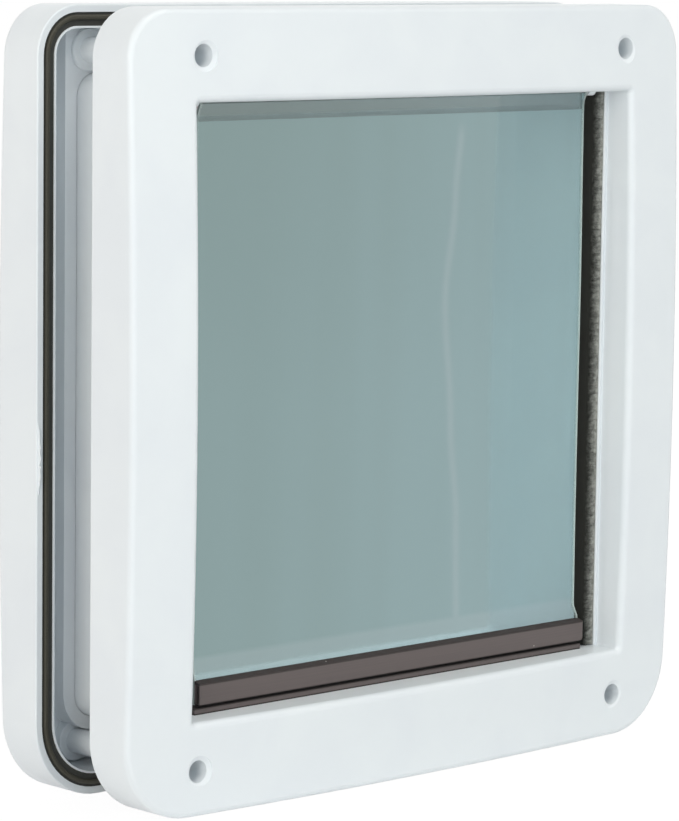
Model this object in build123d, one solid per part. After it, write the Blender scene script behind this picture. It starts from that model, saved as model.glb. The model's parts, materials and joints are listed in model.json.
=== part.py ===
from build123d import *
import math
import os

# A two-way dog door in millimetres. X runs across the door, Y from the front face to the rear one, Z up.
# The origin is under the middle of the two frames, on the surface that they stand on.

# Frames: outline, crowned faces and the gap that takes the door leaf
frame_width = 390.0
frame_height = 400.0
top_corner_radius = 25.0
bottom_corner_radius = 40.0
frame_depth = 27.0
leaf_gap = 42.0
crown_across = 8.4
crown_upright = 4.8
plate = 3.0
front_wall = 3.0
face_edge_radius = 3.0
lip_radius = 3.5
rim_edge_radius = 0.8

# Passage through the frames, and the sleeve that lines it
stile_width = 41.0
top_rail = 46.0
bottom_rail = 48.0
passage_corner_radius = 1.5
sleeve_side_wall = 3.0
sleeve_top_wall = 11.5
sleeve_corner_radius = 12.4
sleeve_core_wall = 2.6
sleeve_core_start = 33.0
sleeve_seat_depth = 3.0
sleeve_clearance = 0.3
flare_set_back = 12.5
flare_angle = 10.0

# Rear frame: rim with its gasket groove, raised collar round the sleeve
rim_width = 11.7
groove_edge = 3.8
groove_width = 6.9
groove_depth = 8.0
collar_width = 7.6
collar_below = 7.0
collar_corner_radius = 20.0
collar_set_back = 16.0

# Gasket
gasket_sink = 0.7
bead_inset = 1.3
bead_width = 2.6
bead_rise = 1.5
bead_radius = 1.0

# Screw wells in the front frame, and posts in the rear one
screw_side_inset = 44.7
screw_end_inset = 23.1
well_radius = 5.75
countersink_radius = 8.1
countersink_depth = 1.0
well_wall = 3.2
well_floor = 3.0
well_set_back = 1.0
screw_hole_radius = 2.6
post_radius = 6.5
post_foot_radius = 10.8
post_foot_height = 2.0
post_foot_edge = 0.8
post_set_back = 1.0
pilot_radius = 1.9
pilot_depth = 12.0

# Flap: where it hangs, its sheet and its bottom bar
flap_set_back = 15.0
flap_side_play = 0.8
sheet_side_gap = 15.6
sheet_thickness = 1.5
sheet_flare_height = 8.5
hem_drop = 10.3
hem_end_inset = 2.5
hem_clearance = 0.1
bar_overhang = 0.8
bar_offset = 1.5
bar_height = 11.1
bar_depth = 10.0
bar_bevel = 1.1
bar_edge_radius = 0.6
bar_left_corner_radius = 0.8
bar_right_corner_radius = 2.2
bar_wall = 0.9
bar_hollow_depth = 12.0
bar_lift = 4.2
bar_screw_count = 5
bar_screw_margin = 18.0
bar_screw_drop = 2.6
bar_screw_radius = 1.25
bar_screw_head_radius = 2.4
bar_screw_head_height = 1.4
bar_screw_bite = 2.2
magnet_height = 4.0
magnet_depth = 2.4
magnet_end_inset = 6.0
magnet_foot = 1.2

# Hinge
rod_radius = 1.5
rod_clearance = 0.06
recess_half_depth = 12.0
recess_height = 7.0
recess_end_gap = 1.0
bush_length = 5.0
bush_drop = 1.5

# Threshold under the bar
threshold_height = 3.0
threshold_depth = 11.0
threshold_left_overhang = 1.8
threshold_right_inset = 0.6
threshold_edge_radius = 0.5
threshold_magnet_width = 5.0
threshold_magnet_height = 4.0
threshold_magnet_end_inset = 6.0

# Brush seals and the ribs that hold them
pile_depth = 7.0
pile_backing = 1.0
pile_reach = 9.3
pile_tip_depth = 5.6
pile_rib_start = 12.0
pile_rib_thickness = 1.6
pile_rib_height = 2.1
pile_rib_round = 0.7

# Worked out from the sizes above
half_width = frame_width / 2
half_height = frame_height / 2
rim_front_y = -leaf_gap / 2
rim_rear_y = leaf_gap / 2
front_y = rim_front_y - frame_depth
rear_y = rim_rear_y + frame_depth
crown_total = crown_across + crown_upright
passage_width = frame_width - 2 * stile_width
passage_height = frame_height - top_rail - bottom_rail
ceiling_z = frame_height - top_rail
floor_z = bottom_rail
passage_centre_z = (ceiling_z + floor_z) / 2
wall_x = passage_width / 2
sleeve_half_x = wall_x + sleeve_side_wall
sleeve_half_z = passage_height / 2 + sleeve_top_wall
collar_y = rim_rear_y + collar_set_back
sleeve_end_y = collar_y + sleeve_seat_depth
flare_y = rim_rear_y + flare_set_back
flap_y = front_y + flap_set_back
hinge_z = ceiling_z
sheet_width = passage_width - 2 * sheet_side_gap
bar_width = sheet_width + 2 * bar_overhang
bar_left_x = bar_offset - bar_width / 2
bar_right_x = bar_offset + bar_width / 2
threshold_left = bar_width / 2 + threshold_left_overhang
threshold_right = bar_width / 2 - threshold_right_inset
bar_bottom_z = floor_z + bar_lift
bar_face_top_z = bar_bottom_z + bar_height
bar_top_z = bar_face_top_z + bar_bevel
bar_front_y = flap_y - bar_depth / 2
bar_rear_y = flap_y + bar_depth / 2
sheet_front_y = flap_y - sheet_thickness / 2
sheet_rear_y = flap_y + sheet_thickness / 2
bush_inner_x = sheet_width / 2 + flap_side_play
bush_outer_x = bush_inner_x + bush_length
recess_half_x = bush_outer_x
magnet_z = bar_bottom_z + magnet_foot
bar_screw_z = bar_face_top_z - bar_screw_drop
pile_front_y = front_y + pile_rib_start + pile_rib_thickness
pile_rear_y = pile_front_y + pile_depth


def slab(sketch, y_from, y_to):
    """A sketch of X and Z values, made solid between two depths."""
    return extrude(Plane.XZ.offset(-y_to) * sketch, amount=y_to - y_from)


def block(x_from, x_to, y_from, y_to, z_from, z_to):
    """A box between two corners."""
    centre = Pos((x_from + x_to) / 2, (y_from + y_to) / 2, (z_from + z_to) / 2)
    return centre * Box(x_to - x_from, y_to - y_from, z_to - z_from)


def rod_along_y(radius, x, z, y_from, y_to):
    """A cylinder that lies along Y."""
    return Pos(x, (y_from + y_to) / 2, z) * Rot(90, 0, 0) * Cylinder(radius, y_to - y_from)


def rod_along_x(radius, x_from, x_to, y, z):
    """A cylinder that lies along X."""
    return Pos((x_from + x_to) / 2, y, z) * Rot(0, 90, 0) * Cylinder(radius, x_to - x_from)


def frame_outline(inset=0.0):
    """The frames' outline, with rounder corners at the bottom than at the top."""
    face = Pos(0, half_height) * Rectangle(frame_width - 2 * inset, frame_height - 2 * inset)
    face = fillet(face.vertices().group_by(Axis.Y)[-1], top_corner_radius - inset)
    return fillet(face.vertices().group_by(Axis.Y)[0], bottom_corner_radius - inset)


def passage_outline(grow=0.0):
    """The clear way through the door, wider all round where it is asked for."""
    face = RectangleRounded(
        passage_width + 2 * grow, passage_height + 2 * grow, passage_corner_radius + grow
    )
    return Pos(0, passage_centre_z) * face


def passage_flare(y_to):
    """The way out at the rear, where the passage widens."""
    growth = (y_to - flare_y) * math.tan(math.radians(flare_angle))
    start = Plane.XZ.offset(-flare_y) * passage_outline()
    end = Plane.XZ.offset(-y_to) * passage_outline(growth)
    return loft([start, end], ruled=True)


def sleeve_outline(grow=0.0):
    """The sleeve's outside, with room all round where it is asked for."""
    face = RectangleRounded(
        2 * (sleeve_half_x + grow), 2 * (sleeve_half_z + grow), sleeve_corner_radius + grow
    )
    return Pos(0, passage_centre_z) * face


def crown_radius(half_span, rise):
    """The radius of an arc with a given half span and rise."""
    return (half_span ** 2 + rise ** 2) / (2 * rise)


def crown_at(x, z):
    """How far the face stands proud of its corners at one place."""
    across = crown_across * (1 - (x / half_width) ** 2)
    upright = crown_upright * (1 - ((z - half_height) / half_height) ** 2)
    return across + upright


def crowned_space(side, inset=0.0):
    """Everything on the door's side of a crowned face, front (-1) or rear (1), or of its inner face."""
    upright_radius = crown_radius(half_height, crown_upright)
    half_span = half_height + bottom_corner_radius
    apex_y = front_y - crown_total
    edge_y = apex_y + upright_radius - math.sqrt(upright_radius ** 2 - half_span ** 2)
    back_y = rear_y + crown_total
    low_z = half_height - half_span
    high_z = half_height + half_span
    arc = ThreePointArc((edge_y, low_z), (apex_y, half_height), (edge_y, high_z))
    back = Polyline((edge_y, high_z), (back_y, high_z), (back_y, low_z), (edge_y, low_z))
    profile = Plane.YZ * make_face(arc + back)
    across_radius = crown_radius(half_width, crown_across)
    axis = Axis((0, front_y - crown_across + across_radius, 0), (0, 0, 1))
    half_turn = math.degrees(math.asin(frame_width / across_radius))
    space = revolve(profile, axis, revolution_arc=2 * half_turn)
    space = Pos(0, inset, 0) * space.rotate(axis, -half_turn)
    return space if side < 0 else mirror(space, Plane.XZ)


def screw_places():
    """The four screw axes as X and Z."""
    places = []
    for side in (-1, 1):
        for level in (-1, 1):
            x = side * (half_width - screw_side_inset)
            z = half_height + level * (half_height - screw_end_inset)
            places.append((x, z))
    return places


def crowned_face(solid, side):
    """The crowned outer face on one side of the door."""
    curved = solid.faces().filter_by(GeomType.REVOLUTION)
    return max(curved, key=lambda face: side * face.center().Y)


def crowned_frame(side, wall):
    """A hollow frame moulding with a crowned plate and side walls, open towards the door leaf."""
    rim_y = side * leaf_gap / 2
    far_y = side * (rear_y + crown_total + plate)
    body = slab(frame_outline(), min(rim_y, far_y), max(rim_y, far_y))
    rim = min(body.faces().filter_by(Axis.Y), key=lambda face: abs(face.center().Y - rim_y))
    body = fillet(rim.edges(), rim_edge_radius) & crowned_space(side)
    body = fillet(crowned_face(body, side).outer_wire().edges(), face_edge_radius)
    hollow = slab(frame_outline(wall), min(rim_y, far_y), max(rim_y, far_y))
    return body - (hollow & crowned_space(side, plate))


def round_lip(solid, side):
    """Rounds the passage's edge in the crowned face."""
    lips = [edge for wire in crowned_face(solid, side).inner_wires() for edge in wire.edges()]
    return fillet(lips, lip_radius)


def well_cutter(x, z):
    """A deep screw well with a countersunk mouth and a screw hole through its floor."""
    mouth_y = front_y - crown_at(x, z)
    well_end_y = rim_front_y - well_set_back - well_floor
    cone = Cone(well_radius, countersink_radius, countersink_depth)
    mouth = Pos(x, mouth_y + countersink_depth / 2, z) * Rot(90, 0, 0) * cone
    clear = rod_along_y(countersink_radius, x, z, mouth_y - countersink_depth, mouth_y)
    well = rod_along_y(well_radius, x, z, mouth_y, well_end_y)
    hole = rod_along_y(screw_hole_radius, x, z, well_end_y, rim_front_y)
    return clear + mouth + well + hole


def pile_rib(side, y_from):
    """A rib on a side wall of the passage that holds a brush seal, rounded along its crest."""
    crest_x = wall_x - pile_rib_height
    profile = block(crest_x, wall_x, y_from, y_from + pile_rib_thickness, floor_z, ceiling_z)
    crest = profile.edges().filter_by(Axis.Z).group_by(Axis.X)[0]
    rounded = fillet(crest, pile_rib_round)
    return rounded if side > 0 else mirror(rounded, Plane.YZ)


def front_frame():
    """The front moulding: crowned frame, sleeve, screw wells and seal ribs."""
    ahead_y = front_y - crown_total - plate
    behind_face = crowned_space(-1, plate / 2)
    solid = crowned_frame(-1, front_wall)
    solid += slab(sleeve_outline(), ahead_y, sleeve_end_y) & behind_face
    for x, z in screw_places():
        boss_end_y = rim_front_y - well_set_back
        solid += rod_along_y(well_radius + well_wall, x, z, ahead_y, boss_end_y) & behind_face
    solid -= slab(passage_outline(), ahead_y, sleeve_end_y)
    solid -= passage_flare(sleeve_end_y)
    solid = round_lip(solid, -1)
    for x, z in screw_places():
        solid -= well_cutter(x, z)
    for side in (-1, 1):
        solid += pile_rib(side, front_y + pile_rib_start)
        solid += pile_rib(side, pile_rear_y)
    for level in (-1, 1):
        solid -= sleeve_core(level)
    return solid - hinge_recess() - threshold_magnet()


def sleeve_core(level):
    """The hollow inside the sleeve's thick top or bottom wall, open at the sleeve's end."""
    half_x = sleeve_half_x - sleeve_corner_radius
    core_height = sleeve_top_wall - 2 * sleeve_core_wall
    middle_z = passage_centre_z + level * (passage_height / 2 + sleeve_top_wall / 2)
    low_z = middle_z - core_height / 2
    return block(-half_x, half_x, front_y + sleeve_core_start, sleeve_end_y, low_z, low_z + core_height)


def hinge_recess():
    """The recess over the passage that hides the hinge."""
    front = flap_y - recess_half_depth
    rear = flap_y + recess_half_depth
    return block(-recess_half_x, recess_half_x, front, rear, ceiling_z, ceiling_z + recess_height)


def rear_frame():
    """The rear moulding: crowned frame, gasket groove, collar round the sleeve and screw posts."""
    behind_y = rear_y + crown_total + plate
    behind_face = crowned_space(1, plate / 2)
    solid = crowned_frame(1, rim_width)
    solid += slab(collar_outline(), collar_y, behind_y) & behind_face
    post_end_y = rim_rear_y + post_set_back
    for x, z in screw_places():
        solid += rod_along_y(post_radius, x, z, post_end_y, behind_y) & behind_face
        solid += post_foot(x, z, foot_level(z), behind_y) & behind_face
    solid -= slab(sleeve_outline(sleeve_clearance), rim_rear_y, sleeve_end_y)
    solid -= passage_flare(behind_y)
    solid = round_lip(solid, 1)
    for x, z in screw_places():
        solid -= rod_along_y(pilot_radius, x, z, post_end_y, post_end_y + pilot_depth)
    return solid - gasket_groove()


def foot_level(z):
    """The depth of the surface that a post's foot stands on: the collar at the top, the plate below."""
    if z > half_height:
        return collar_y
    return rear_y - post_foot_height


def post_foot(x, z, level_y, end_y):
    """The round foot of a screw post, with a softened edge."""
    foot = rod_along_y(post_foot_radius, x, z, level_y - post_foot_height, end_y)
    edge = foot.edges().filter_by(GeomType.CIRCLE).sort_by(Axis.Y)[0]
    return fillet(edge, post_foot_edge)


def collar_outline():
    """The raised collar's outline: it hugs the sleeve at its sides and runs up to the rim at the top."""
    half = sleeve_half_x + collar_width
    bottom_z = passage_centre_z - sleeve_half_z - collar_below
    top_z = frame_height - rim_width / 2
    face = Pos(0, (bottom_z + top_z) / 2) * Rectangle(2 * half, top_z - bottom_z)
    return fillet(face.vertices().group_by(Axis.Y)[0], collar_corner_radius)


def groove_ring(outer_inset, inner_inset, y_from, y_to):
    """A band that follows the frames' outline between two insets."""
    return slab(frame_outline(outer_inset) - frame_outline(inner_inset), y_from, y_to)


def gasket_groove():
    """The groove along the rear frame's rim."""
    return groove_ring(groove_edge, groove_edge + groove_width, rim_rear_y, rim_rear_y + groove_depth)


def rear_gasket():
    """The rubber gasket: a flat strip with a rounded bead along its outer half."""
    strip_y = rim_rear_y + gasket_sink
    strip = groove_ring(groove_edge, groove_edge + groove_width, strip_y, rim_rear_y + groove_depth)
    bead_outer = groove_edge + bead_inset
    bead_y = strip_y - bead_rise
    bead = groove_ring(bead_outer, bead_outer + bead_width, bead_y, strip_y)
    crest = bead.faces().sort_by(Axis.Y)[0]
    return strip + fillet(crest.edges(), bead_radius)


def pile_seal(side):
    """A brush seal: its backing against the passage's wall and its pile as one tapered body."""
    back_x = wall_x
    base_x = wall_x - pile_backing
    tip_x = wall_x - pile_reach
    middle_y = (pile_front_y + pile_rear_y) / 2
    tip_front_y = middle_y - pile_tip_depth / 2
    tip_rear_y = middle_y + pile_tip_depth / 2
    outline = Polyline(
        (back_x, pile_front_y),
        (base_x, pile_front_y),
        (tip_x, tip_front_y),
        (tip_x, tip_rear_y),
        (base_x, pile_rear_y),
        (back_x, pile_rear_y),
        close=True,
    )
    low_z = floor_z + passage_corner_radius
    high_z = ceiling_z - passage_corner_radius
    seal = Pos(0, 0, low_z) * extrude(make_face(outline), amount=high_z - low_z, dir=(0, 0, 1))
    return seal if side > 0 else mirror(seal, Plane.YZ)


def threshold_strip():
    """The strip on the passage's floor that the flap's bar hangs over."""
    rear_edge_y = bar_front_y + threshold_depth
    top_z = floor_z + threshold_height
    strip = block(-threshold_left, threshold_right, bar_front_y, rear_edge_y, floor_z, top_z)
    edges = strip.faces().sort_by(Axis.Z)[-1].edges().filter_by(Axis.X)
    return fillet(edges, threshold_edge_radius)


def threshold_magnet():
    """The magnet strip let into the floor under the threshold strip."""
    left_x = -threshold_left + threshold_magnet_end_inset
    right_x = threshold_right - threshold_magnet_end_inset
    front = flap_y - threshold_magnet_width / 2
    rear = flap_y + threshold_magnet_width / 2
    return block(left_x, right_x, front, rear, floor_z - threshold_magnet_height, floor_z)


def bar_screw_xs():
    """The bar screws' places along the bar."""
    reach = bar_width / 2 - bar_screw_margin
    step = 2 * reach / (bar_screw_count - 1)
    return [bar_offset - reach + i * step for i in range(bar_screw_count)]


def sheet_outline():
    """The hanging sheet's outline, which meets the bar's ends where it goes into the bar."""
    half = sheet_width / 2
    turn_z = bar_top_z + sheet_flare_height
    outline = Polyline(
        (half, hinge_z),
        (half, turn_z),
        (bar_right_x, bar_top_z),
        (bar_right_x, bar_bottom_z),
        (bar_left_x, bar_bottom_z),
        (bar_left_x, bar_top_z),
        (-half, turn_z),
        (-half, hinge_z),
        close=True,
    )
    return make_face(outline)


def flap_sheet():
    """The clear sheet with its hem round the hinge rod and holes for the bar's screws."""
    half = sheet_width / 2
    sheet = slab(sheet_outline(), sheet_front_y, sheet_rear_y)
    hem_half = half - hem_end_inset
    hem_rear_y = sheet_rear_y + sheet_thickness
    sheet += block(-hem_half, hem_half, sheet_rear_y, hem_rear_y, hinge_z - hem_drop, hinge_z)
    loop_radius = rod_radius + hem_clearance + sheet_thickness
    sheet += rod_along_x(loop_radius, -half, half, flap_y, hinge_z)
    sheet -= rod_along_x(rod_radius + hem_clearance, -half, half, flap_y, hinge_z)
    for x in bar_screw_xs():
        sheet -= rod_along_y(bar_screw_radius, x, bar_screw_z, sheet_front_y, sheet_rear_y)
    return sheet


def bar_half(outer_y, inner_y):
    """One half of the bottom bar, bevelled along its top towards the sheet and rounded at its corners."""
    outline = Polyline(
        (outer_y, bar_bottom_z),
        (outer_y, bar_face_top_z),
        (inner_y, bar_top_z),
        (inner_y, bar_bottom_z),
        close=True,
    )
    half = extrude(Plane.YZ * make_face(outline), amount=bar_width / 2, both=True)
    left_low = half.edges().filter_by(Axis.Y).sort_by(Axis.X)[0]
    half = fillet(left_low, bar_left_corner_radius)
    right_low = half.edges().filter_by(Axis.Y).sort_by(Axis.X)[-1]
    half = fillet(right_low, bar_right_corner_radius)
    face = max(half.faces().filter_by(Axis.Y), key=lambda face: abs(face.center().Y - flap_y))
    rounded = face.edges().sort_by(Axis.Z)[:-1]
    return Pos(bar_offset, 0, 0) * fillet(rounded, bar_edge_radius)


def flap_magnet():
    """The magnet strip in the rear half of the bar, against the sheet."""
    left_x = bar_left_x + magnet_end_inset
    right_x = bar_right_x - magnet_end_inset
    rear = sheet_rear_y + magnet_depth
    return block(left_x, right_x, sheet_rear_y, rear, magnet_z, magnet_z + magnet_height)


def bar_screw(x):
    """One countersunk screw, driven from behind through the sheet."""
    head_start_y = bar_rear_y - bar_screw_head_height
    cone = Cone(bar_screw_head_radius, bar_screw_radius, bar_screw_head_height)
    head = Pos(x, bar_rear_y - bar_screw_head_height / 2, bar_screw_z) * Rot(90, 0, 0) * cone
    shank = rod_along_y(bar_screw_radius, x, bar_screw_z, sheet_front_y - bar_screw_bite, head_start_y)
    return head + shank


def bar_screws():
    """All the bar's screws."""
    return [bar_screw(x) for x in bar_screw_xs()]


def bar_hollow(x_from, x_to):
    """The hollow in one end of the bar's front half."""
    front = bar_front_y + bar_wall
    rear = sheet_front_y - bar_wall
    return block(x_from, x_to, front, rear, bar_bottom_z + bar_wall, bar_face_top_z - bar_wall)


def flap_bar_front():
    """The half of the bar that shows, hollow at its ends, with blind holes for its screws."""
    half = bar_half(bar_front_y, sheet_front_y)
    half -= bar_hollow(bar_left_x, bar_left_x + bar_hollow_depth)
    half -= bar_hollow(bar_right_x - bar_hollow_depth, bar_right_x)
    for screw in bar_screws():
        half -= screw
    return half


def flap_bar_rear():
    """The half of the bar behind the sheet, with the magnet's pocket and the screws' holes."""
    half = bar_half(bar_rear_y, sheet_rear_y) - flap_magnet()
    for screw in bar_screws():
        half -= screw
    return half


def hinge_rod():
    """The steel rod in the hem, carried by the two bushes."""
    reach = bush_outer_x - recess_end_gap
    return rod_along_x(rod_radius, -reach, reach, flap_y, hinge_z)


def hinge_bush(side):
    """A bush that fills one end of the recess over the passage and carries the rod."""
    front = flap_y - recess_half_depth
    rear = flap_y + recess_half_depth
    top_z = ceiling_z + recess_height
    body = block(bush_inner_x, bush_outer_x, front, rear, ceiling_z, top_z)
    drop_radius = rod_radius + bush_drop
    body += rod_along_x(drop_radius, bush_inner_x, bush_outer_x, flap_y, hinge_z)
    body -= rod_along_x(rod_radius + rod_clearance, bush_inner_x, bush_outer_x, flap_y, hinge_z)
    return body if side > 0 else mirror(body, Plane.YZ)


parts = {
    "front_frame": front_frame(),
    "rear_frame": rear_frame(),
    "rear_gasket": rear_gasket(),
    "pile_seal_left": pile_seal(-1),
    "pile_seal_right": pile_seal(1),
    "threshold_strip": threshold_strip(),
    "threshold_magnet": threshold_magnet(),
    "hinge_bush_left": hinge_bush(-1),
    "hinge_bush_right": hinge_bush(1),
    "hinge_rod": hinge_rod(),
    "flap_sheet": flap_sheet(),
    "flap_bar_front": flap_bar_front(),
    "flap_bar_rear": flap_bar_rear(),
    "flap_magnet": flap_magnet(),
    "bar_screws": Compound(children=bar_screws()),
}

os.makedirs("parts", exist_ok=True)
for name, solid in parts.items():
    export_step(solid, f"parts/{name}.step")
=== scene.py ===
"""A two-way dog door, dressed for the photograph's view.

Sizes are in millimetres unless a name says otherwise.
"""

import json
import logging
import math
import random
from dataclasses import dataclass
from enum import Enum
from typing import Iterable, Sequence

import bmesh
import bpy
from bmesh.types import BMesh, BMVert
from bpy.types import Material, Mesh, Node, NodeSocket, NodeTree, Object, World
from mathutils import Matrix, Vector

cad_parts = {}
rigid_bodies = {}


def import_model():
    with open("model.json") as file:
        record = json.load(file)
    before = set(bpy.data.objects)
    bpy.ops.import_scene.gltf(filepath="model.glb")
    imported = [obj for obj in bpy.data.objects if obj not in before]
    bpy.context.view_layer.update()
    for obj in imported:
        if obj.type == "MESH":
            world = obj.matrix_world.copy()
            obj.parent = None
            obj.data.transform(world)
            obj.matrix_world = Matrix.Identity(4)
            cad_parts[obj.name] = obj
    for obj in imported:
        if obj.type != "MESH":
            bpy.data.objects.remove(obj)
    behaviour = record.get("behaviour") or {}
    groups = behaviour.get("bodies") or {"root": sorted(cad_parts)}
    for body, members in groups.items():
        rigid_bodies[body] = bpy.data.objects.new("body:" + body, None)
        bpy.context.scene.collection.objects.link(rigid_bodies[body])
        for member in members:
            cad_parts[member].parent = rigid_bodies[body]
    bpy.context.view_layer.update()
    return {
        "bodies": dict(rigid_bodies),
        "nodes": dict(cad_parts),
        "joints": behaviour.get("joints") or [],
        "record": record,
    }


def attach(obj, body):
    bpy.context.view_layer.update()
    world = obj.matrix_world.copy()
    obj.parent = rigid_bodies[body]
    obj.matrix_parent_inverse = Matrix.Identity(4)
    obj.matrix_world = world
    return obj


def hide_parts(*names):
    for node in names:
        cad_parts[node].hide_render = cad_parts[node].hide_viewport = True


LOG = logging.getLogger("dog_door")
MM = 0.001
WHITE_LIGHT = (1.0, 1.0, 1.0, 1.0)

# Sockets of the Mix node by number, because its kinds of value share their names.
FAC, RGB_A, RGB_B, RGB = 0, 6, 7, 2
VAL_A, VAL_B, VAL = 2, 3, 0

Point = tuple[float, float, float]
Ring = list[Point]
Line = tuple[tuple[float, float], ...]
Inputs = dict[str, object]


class Body(Enum):
    """The two rigid bodies of the door."""

    FRAME = "frame"
    FLAP = "flap"


class Side(Enum):
    """The two sides of the passage, seen from the front."""

    LEFT = -1
    RIGHT = 1


class Slot(Enum):
    """The record's material slots."""

    WHITE = "white_plastic"
    GASKET = "gasket_rubber"
    PILE = "brush_pile"
    BROWN = "brown_plastic"
    MAGNET = "magnet_rubber"
    SHEET = "tinted_sheet"
    STEEL = "steel"


def linear(hex_colour: str) -> tuple[float, float, float, float]:
    """Turns an sRGB hex colour into linear light.

    Args:
        hex_colour: six hex digits with a leading hash.

    Returns:
        Red, green, blue and an alpha of one.
    """
    digits = hex_colour.lstrip("#")
    channels = [int(digits[i:i + 2], 16) / 255 for i in (0, 2, 4)]
    light = [c / 12.92 if c <= 0.04045 else ((c + 0.055) / 1.055) ** 2.4 for c in channels]
    return (light[0], light[1], light[2], 1.0)


def per_metre(size_mm: float) -> float:
    """The texture scale that draws a pattern's features at a real size in millimetres."""
    return 1.0 / (size_mm * MM)


def feed(tree: NodeTree, node: Node, inputs: dict) -> None:
    """Sets or links a node's inputs.

    Args:
        tree: the node's tree.
        node: the node.
        inputs: values or output sockets by input name or number.
    """
    for key, value in inputs.items():
        if isinstance(value, NodeSocket):
            tree.links.new(value, node.inputs[key])
        else:
            node.inputs[key].default_value = value


def add_node(tree: NodeTree, kind: str, inputs: dict | None = None, **settings: object) -> Node:
    """Adds a node with its settings, and sets or links its inputs.

    Args:
        tree: the node tree to add to.
        kind: Blender's name for the node.
        inputs: values or output sockets by input name or number.
        settings: the node's own properties.

    Returns:
        The new node.
    """
    node = tree.nodes.new(kind)
    for name, value in settings.items():
        setattr(node, name, value)
    feed(tree, node, inputs or {})
    return node


def bare_tree(owner: Material | World) -> NodeTree:
    """Empties the node tree of a material or a world.

    Args:
        owner: the material or the world.

    Returns:
        Its node tree.
    """
    owner.use_nodes = True
    owner.node_tree.nodes.clear()
    return owner.node_tree


# Finishes


@dataclass(frozen=True)
class Finish:
    """What every finish states. Each kind adds its own pattern.

    Attributes:
        name: the real material and how its surface was made.
        colour: its main colour.
        roughness: its mean roughness.
        ior: its index of refraction.
    """

    name: str
    colour: str
    roughness: float
    ior: float = 1.5

    def material(self) -> Material:
        """Builds the finish as a material, with its pattern on object coordinates.

        Returns:
            The new material.
        """
        made = bpy.data.materials.new(self.name)
        tree = bare_tree(made)
        shader = add_node(tree, "ShaderNodeBsdfPrincipled", {
            "Base Color": linear(self.colour), "Roughness": self.roughness, "IOR": self.ior})
        place = add_node(tree, "ShaderNodeTexCoord").outputs["Object"]
        feed(tree, shader, self.pattern(tree, place))
        add_node(tree, "ShaderNodeOutputMaterial", {"Surface": self.surface(tree, shader)})
        return made

    def pattern(self, tree: NodeTree, place: NodeSocket) -> Inputs:
        """Makes the finish's own pattern.

        Args:
            tree: the material's node tree.
            place: object coordinates in metres.

        Returns:
            What the pattern gives the shader, by input name.
        """
        raise NotImplementedError

    def surface(self, tree: NodeTree, shader: Node) -> NodeSocket:
        """What the material shows: its shader, unless a finish adds to it.

        Args:
            tree: the material's node tree.
            shader: its shader.

        Returns:
            The socket that feeds the output.
        """
        return shader.outputs["BSDF"]


@dataclass(frozen=True)
class MouldedAbs(Finish):
    """White ABS from a polished mould: faint flow clouding, a rippled gloss and a few rubbed patches.

    Attributes:
        cloud: the clouding's colour.
        rub_roughness: what the rubbed patches add to the roughness.
    """

    cloud: str = "#E6EBEF"
    cloud_size: float = 55.0
    ripple_size: float = 5.0
    ripple_height: float = 0.010
    rub_size: float = 14.0
    rub_roughness: float = 0.14

    def pattern(self, tree: NodeTree, place: NodeSocket) -> Inputs:
        """Adds clouding to the colour, rubbed patches to the gloss and a ripple to the surface.

        Args:
            tree: the material's node tree.
            place: object coordinates in metres.

        Returns:
            The shader's colour, roughness and normal.
        """
        flow = add_node(tree, "ShaderNodeTexNoise", {
            "Vector": place, "Scale": per_metre(self.cloud_size), "Detail": 3.0, "Distortion": 0.6})
        clouded = add_node(tree, "ShaderNodeMapRange", {
            "Value": flow.outputs["Fac"], "From Min": 0.35, "From Max": 0.62})
        tint = add_node(tree, "ShaderNodeMix", {
            FAC: clouded.outputs["Result"], RGB_A: linear(self.cloud), RGB_B: linear(self.colour)
        }, data_type="RGBA")
        rub = add_node(tree, "ShaderNodeTexNoise", {
            "Vector": place, "Scale": per_metre(self.rub_size), "Detail": 6.0, "Roughness": 0.65})
        gloss = add_node(tree, "ShaderNodeMapRange", {
            "Value": rub.outputs["Fac"], "From Min": 0.35, "From Max": 0.75,
            "To Min": self.roughness, "To Max": self.roughness + self.rub_roughness})
        wave = add_node(tree, "ShaderNodeTexNoise", {
            "Vector": place, "Scale": per_metre(self.ripple_size), "Detail": 4.0, "Roughness": 0.6})
        bump = add_node(tree, "ShaderNodeBump", {
            "Height": wave.outputs["Fac"], "Distance": self.ripple_height * MM, "Strength": 1.0})
        return {"Base Color": tint.outputs[RGB], "Roughness": gloss.outputs["Result"],
                "Normal": bump.outputs["Normal"]}


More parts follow.
